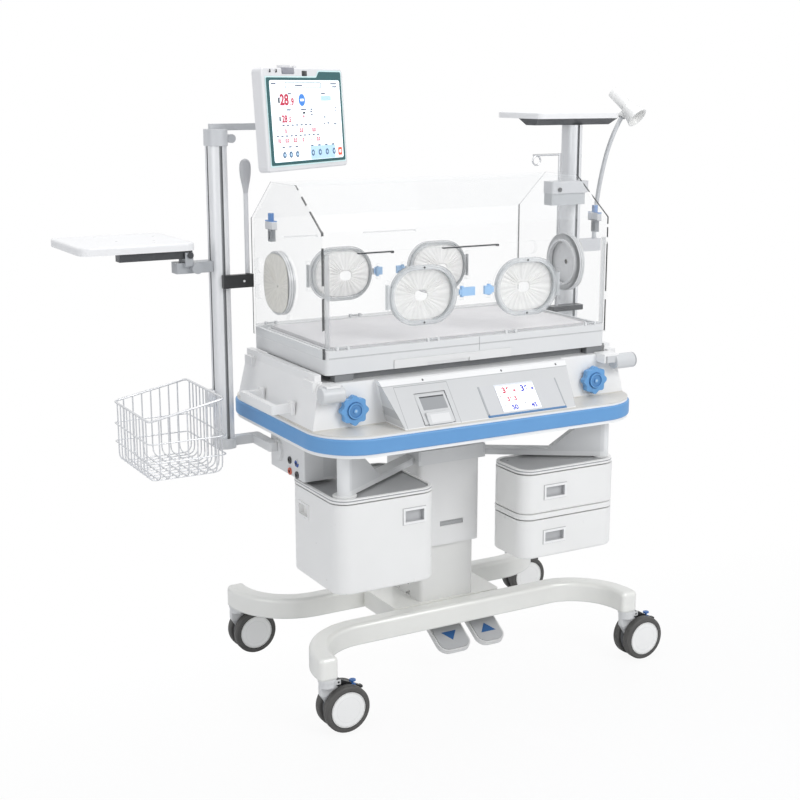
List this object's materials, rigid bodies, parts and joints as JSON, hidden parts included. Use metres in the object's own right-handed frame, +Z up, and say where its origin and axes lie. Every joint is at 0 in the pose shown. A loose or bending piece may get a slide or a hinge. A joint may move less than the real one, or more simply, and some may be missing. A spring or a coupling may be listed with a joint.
{
  "type": "infant incubator",
  "caption": "Height-adjustable infant incubator trolley with clear drop-down hood panels, oval hand ports, swing-out bins, side trays, monitor and castors.",
  "frame": {"origin": "floor point under the middle of the bounding box", "axes": "+X to the viewer's right along the trolley, +Y from the front towards the back, +Z up"},
  "size_m": [1.7318, 0.741, 1.6568],
  "materials": {
    "pearl": "satin powder coat on castings",
    "white_shell": "satin moulded",
    "grey_metal": "satin",
    "post_aluminium": "anodised",
    "wheel_tread": "smooth tread, pale hub",
    "fork_metal": "satin",
    "brake_lever": "black with blue cap",
    "pedal_pad": "ribbed grey with white rim",
    "blue_bumper": "soft blue",
    "panel_face": "dark display",
    "basket_wire": "bright wire",
    "clear_acrylic": "clear",
    "knob_blue": "soft",
    "latch_blue": "soft",
    "cuff_fabric": "thin pleated",
    "mattress_cover": "wipe-clean",
    "bin_white": "satin moulded",
    "monitor_case": "satin with dark screen",
    "rod_steel": "polished",
    "dark_grip": "matte",
    "lamp_white": "gloss"
  },
  "bodies": {
    "base": {"legFrame": "pearl", "columnInner": "pearl"},
    "lift": {"columnCover": "white_shell", "bumper": "blue_bumper", "housing": "white_shell", "controlPanel": "panel_face", "posts": "post_aluminium", "underframe": "grey_metal", "basket": "basket_wire", "postFittings": "dark_grip", "deckTub": "white_shell", "hoodShell": "clear_acrylic"},
    "castorFL": {"forkFL": "fork_metal"},
    "wheelsetFL": {"wheelFL": "wheel_tread"},
    "brakeLeverFL": {"brakeFL": "brake_lever"},
    "castorFR": {"forkFR": "fork_metal"},
    "wheelsetFR": {"wheelFR": "wheel_tread"},
    "brakeLeverFR": {"brakeFR": "brake_lever"},
    "castorRL": {"forkRL": "fork_metal"},
    "wheelsetRL": {"wheelRL": "wheel_tread"},
    "brakeLeverRL": {"brakeRL": "brake_lever"},
    "castorRR": {"forkRR": "fork_metal"},
    "wheelsetRR": {"wheelRR": "wheel_tread"},
    "brakeLeverRR": {"brakeRR": "brake_lever"},
    "pedalDownBody": {"pedalDown": "pedal_pad"},
    "pedalUpBody": {"pedalUp": "pedal_pad"},
    "traySlide": {"trayClamp": "dark_grip"},
    "trayTop": {"leftTray": "white_shell"},
    "monitorArmBody": {"monitorArm": "grey_metal"},
    "monitorYokeBody": {"monitorYoke": "grey_metal"},
    "monitorHead": {"monitor": "monitor_case"},
    "shelfTop": {"rightShelf": "white_shell"},
    "ivPole": {"ivRod": "rod_steel"},
    "lampNeck": {"gooseneck": "dark_grip"},
    "lampBell": {"lampHead": "lamp_white"},
    "knobLeftBody": {"knobLeft": "knob_blue"},
    "irisLeftBody": {"irisLeft": "clear_acrylic"},
    "knobRightBody": {"knobRight": "knob_blue"},
    "irisRightBody": {"irisRight": "clear_acrylic"},
    "bed": {"bedTray": "bin_white"},
    "mattressPad": {"mattress": "mattress_cover"},
    "frontFlap": {"frontPanel": "clear_acrylic", "frontCuffs": "cuff_fabric"},
    "rearFlap": {"rearPanel": "clear_acrylic", "rearCuffs": "cuff_fabric"},
    "portFL": {"portDoorFL": "clear_acrylic"},
    "portLatchFL": {"latchFL": "latch_blue"},
    "portFR": {"portDoorFR": "clear_acrylic"},
    "portLatchFR": {"latchFR": "latch_blue"},
    "portRL": {"portDoorRL": "clear_acrylic"},
    "portLatchRL": {"latchRL": "latch_blue"},
    "portRR": {"portDoorRR": "clear_acrylic"},
    "portLatchRR": {"latchRR": "latch_blue"},
    "cabinetLeftBody": {"cabinetL": "bin_white"},
    "cabinetRightBody": {"cabinetR": "bin_white"},
    "binLeft": {"drawerL": "bin_white"},
    "binUpper": {"drawerUpper": "bin_white"},
    "binLower": {"drawerLower": "bin_white"},
    "cassette": {"cassetteTray": "white_shell"},
    "water": {"waterDrawer": "white_shell"}
  },
  "joints": [
    {"name": "swivelFL", "type": "hinge", "parent": "base", "child": "castorFL", "pos_m": [-0.40693, -0.322, 0.135], "axis": [0, 0, 1], "continuous": true},
    {"name": "rollFL", "type": "hinge", "parent": "castorFL", "child": "wheelsetFL", "pos_m": [-0.36353, -0.322, 0.0625], "axis": [0, 1, 0], "continuous": true},
    {"name": "brakePressFL", "type": "hinge", "parent": "castorFL", "child": "brakeLeverFL", "pos_m": [-0.37993, -0.322, 0.133], "axis": [0, 1, 0], "range_deg": [0, 4]},
    {"name": "swivelFR", "type": "hinge", "parent": "base", "child": "castorFR", "pos_m": [0.54507, -0.322, 0.135], "axis": [0, 0, 1], "continuous": true},
    {"name": "rollFR", "type": "hinge", "parent": "castorFR", "child": "wheelsetFR", "pos_m": [0.58847, -0.322, 0.0625], "axis": [0, 1, 0], "continuous": true},
    {"name": "brakePressFR", "type": "hinge", "parent": "castorFR", "child": "brakeLeverFR", "pos_m": [0.57207, -0.322, 0.133], "axis": [0, 1, 0], "range_deg": [0, 4]},
    {"name": "swivelRL", "type": "hinge", "parent": "base", "child": "castorRL", "pos_m": [-0.40693, 0.263, 0.135], "axis": [0, 0, 1], "continuous": true},
    {"name": "rollRL", "type": "hinge", "parent": "castorRL", "child": "wheelsetRL", "pos_m": [-0.36353, 0.263, 0.0625], "axis": [0, 1, 0], "continuous": true},
    {"name": "brakePressRL", "type": "hinge", "parent": "castorRL", "child": "brakeLeverRL", "pos_m": [-0.37993, 0.263, 0.133], "axis": [0, 1, 0], "range_deg": [0, 4]},
    {"name": "swivelRR", "type": "hinge", "parent": "base", "child": "castorRR", "pos_m": [0.54507, 0.263, 0.135], "axis": [0, 0, 1], "continuous": true},
    {"name": "rollRR", "type": "hinge", "parent": "castorRR", "child": "wheelsetRR", "pos_m": [0.58847, 0.263, 0.0625], "axis": [0, 1, 0], "continuous": true},
    {"name": "brakePressRR", "type": "hinge", "parent": "castorRR", "child": "brakeLeverRR", "pos_m": [0.57207, 0.263, 0.133], "axis": [0, 1, 0], "range_deg": [0, 4]},
    {"name": "pedalDownPress", "type": "hinge", "parent": "base", "child": "pedalDownBody", "pos_m": [0.07257, -0.0815, 0.118], "axis": [1, 0, 0], "range_deg": [0, 6], "stiffness_Nm_per_rad": 5, "springref_deg": -4.58},
    {"name": "pedalUpPress", "type": "hinge", "parent": "base", "child": "pedalUpBody", "pos_m": [0.19207, -0.0815, 0.118], "axis": [1, 0, 0], "range_deg": [0, 6], "stiffness_Nm_per_rad": 5, "springref_deg": -4.58},
    {"name": "liftColumn", "type": "slide", "parent": "base", "child": "lift", "axis": [0, 0, 1], "range_m": [-0.1, 0.1]},
    {"name": "trayHeight", "type": "slide", "parent": "lift", "child": "traySlide", "axis": [0, 0, 1], "range_m": [-0.05, 0.05]},
    {"name": "trayFold", "type": "hinge", "parent": "traySlide", "child": "trayTop", "pos_m": [-0.58193, 0.1055, 1.184], "axis": [0, 1, 0], "range_deg": [0, 80]},
    {"name": "monitorArmTurn", "type": "hinge", "parent": "lift", "child": "monitorArmBody", "pos_m": [-0.49093, 0.1155, 1.48], "axis": [0, 0, 1], "range_deg": [-60, 55]},
    {"name": "monitorTurn", "type": "hinge", "parent": "monitorArmBody", "child": "monitorYokeBody", "pos_m": [-0.29179, 0.13018, 1.521], "axis": [0, 0, 1], "range_deg": [-25, 45]},
    {"name": "monitorTilt", "type": "hinge", "parent": "monitorYokeBody", "child": "monitorHead", "pos_m": [-0.27879, 0.11001, 1.523], "axis": [0.8406, 0.5417, 0], "range_deg": [-12, 12]},
    {"name": "shelfTurn", "type": "hinge", "parent": "lift", "child": "shelfTop", "pos_m": [0.62907, 0.1155, 1.503], "axis": [0, 0, 1], "range_deg": [0, 90]},
    {"name": "ivHeight", "type": "slide", "parent": "lift", "child": "ivPole", "axis": [0, 0, 1], "range_m": [-0.01, 0.06]},
    {"name": "lampSwing", "type": "hinge", "parent": "lift", "child": "lampNeck", "pos_m": [0.72107, 0.1155, 1.14], "axis": [0, 0, 1], "range_deg": [-20, 20]},
    {"name": "lampTilt", "type": "hinge", "parent": "lampNeck", "child": "lampBell", "pos_m": [0.81407, 0.1155, 1.519], "axis": [1, 0, 0], "range_deg": [-12, 12]},
    {"name": "knobTurnLeft", "type": "hinge", "parent": "lift", "child": "knobLeftBody", "pos_m": [-0.30093, -0.2745, 0.82], "axis": [0, 1, 0], "range_deg": [0, 360]},
    {"name": "irisTurnLeft", "type": "hinge", "parent": "lift", "child": "irisLeftBody", "pos_m": [-0.37593, -0.0188, 1.112], "axis": [1, 0, 0], "range_deg": [-90, 90]},
    {"name": "knobTurnRight", "type": "hinge", "parent": "lift", "child": "knobRightBody", "pos_m": [0.43907, -0.2745, 0.82], "axis": [0, 1, 0], "range_deg": [0, 360]},
    {"name": "irisTurnRight", "type": "hinge", "parent": "lift", "child": "irisRightBody", "pos_m": [0.51407, -0.0188, 1.112], "axis": [1, 0, 0], "range_deg": [-90, 90]},
    {"name": "bedTilt", "type": "hinge", "parent": "lift", "child": "bed", "pos_m": [0.47407, -0.0295, 0.947], "axis": [0, 1, 0], "range_deg": [0, 8]},
    {"name": "mattressTilt", "type": "hinge", "parent": "bed", "child": "mattressPad", "pos_m": [-0.32593, -0.0295, 0.955], "axis": [0, -1, 0], "range_deg": [0, 8]},
    {"name": "frontFlapOpen", "type": "hinge", "parent": "lift", "child": "frontFlap", "pos_m": [0.06907, -0.2365, 0.971], "axis": [1, 0, 0], "range_deg": [0, 90]},
    {"name": "rearFlapOpen", "type": "hinge", "parent": "lift", "child": "rearFlap", "pos_m": [0.06907, 0.1985, 0.971], "axis": [-1, 0, 0], "range_deg": [0, 90]},
    {"name": "portOpenFL", "type": "hinge", "parent": "frontFlap", "child": "portFL", "pos_m": [-0.19093, -0.2485, 1.09], "axis": [0, 0, 1], "range_deg": [-110, 0]},
    {"name": "latchPressFL", "type": "hinge", "parent": "frontFlap", "child": "portLatchFL", "pos_m": [0.02807, -0.2475, 1.09], "axis": [0, 0, 1], "range_deg": [0, 8], "stiffness_Nm_per_rad": 0.06, "springref_deg": -4.58},
    {"name": "portOpenFR", "type": "hinge", "parent": "frontFlap", "child": "portFR", "pos_m": [0.32907, -0.2485, 1.09], "axis": [0, 0, -1], "range_deg": [-110, 0]},
    {"name": "latchPressFR", "type": "hinge", "parent": "frontFlap", "child": "portLatchFR", "pos_m": [0.11007, -0.2475, 1.09], "axis": [0, 0, -1], "range_deg": [0, 8], "stiffness_Nm_per_rad": 0.06, "springref_deg": -4.58},
    {"name": "portOpenRL", "type": "hinge", "parent": "rearFlap", "child": "portRL", "pos_m": [-0.19093, 0.2105, 1.09], "axis": [0, 0, -1], "range_deg": [-110, 0]},
    {"name": "latchPressRL", "type": "hinge", "parent": "rearFlap", "child": "portLatchRL", "pos_m": [0.02807, 0.2095, 1.09], "axis": [0, 0, -1], "range_deg": [0, 8], "stiffness_Nm_per_rad": 0.06, "springref_deg": -4.58},
    {"name": "portOpenRR", "type": "hinge", "parent": "rearFlap", "child": "portRR", "pos_m": [0.32907, 0.2105, 1.09], "axis": [0, 0, 1], "range_deg": [-110, 0]},
    {"name": "latchPressRR", "type": "hinge", "parent": "rearFlap", "child": "portLatchRR", "pos_m": [0.11007, 0.2095, 1.09], "axis": [0, 0, 1], "range_deg": [0, 8], "stiffness_Nm_per_rad": 0.06, "springref_deg": -4.58},
    {"name": "cabinetLeftSwing", "type": "hinge", "parent": "lift", "child": "cabinetLeftBody", "pos_m": [-0.33093, -0.2795, 0.6], "axis": [0, 0, 1], "range_deg": [-90, 90]},
    {"name": "cabinetRightSwing", "type": "hinge", "parent": "lift", "child": "cabinetRightBody", "pos_m": [0.46907, -0.2795, 0.6], "axis": [0, 0, 1], "range_deg": [-90, 90]},
    {"name": "binLeftSlide", "type": "slide", "parent": "cabinetLeftBody", "child": "binLeft", "axis": [0, -1, 0], "range_m": [0, 0.18]},
    {"name": "binUpperSlide", "type": "slide", "parent": "cabinetRightBody", "child": "binUpper", "axis": [0, -1, 0], "range_m": [0, 0.12]},
    {"name": "binLowerSlide", "type": "slide", "parent": "cabinetRightBody", "child": "binLower", "axis": [0, -1, 0], "range_m": [0, 0.12]},
    {"name": "cassetteSlide", "type": "slide", "parent": "lift", "child": "cassette", "axis": [0, 1, 0], "range_m": [-0.25, 0]},
    {"name": "waterSlide", "type": "slide", "parent": "lift", "child": "water", "axis": [0, -1, 0], "range_m": [0, 0.12]}
  ],
  "couplings": [
    {"joint": "knobTurnLeft", "follows": "bedTilt", "ratio": 45},
    {"joint": "knobTurnRight", "follows": "mattressTilt", "ratio": 45}
  ]
}
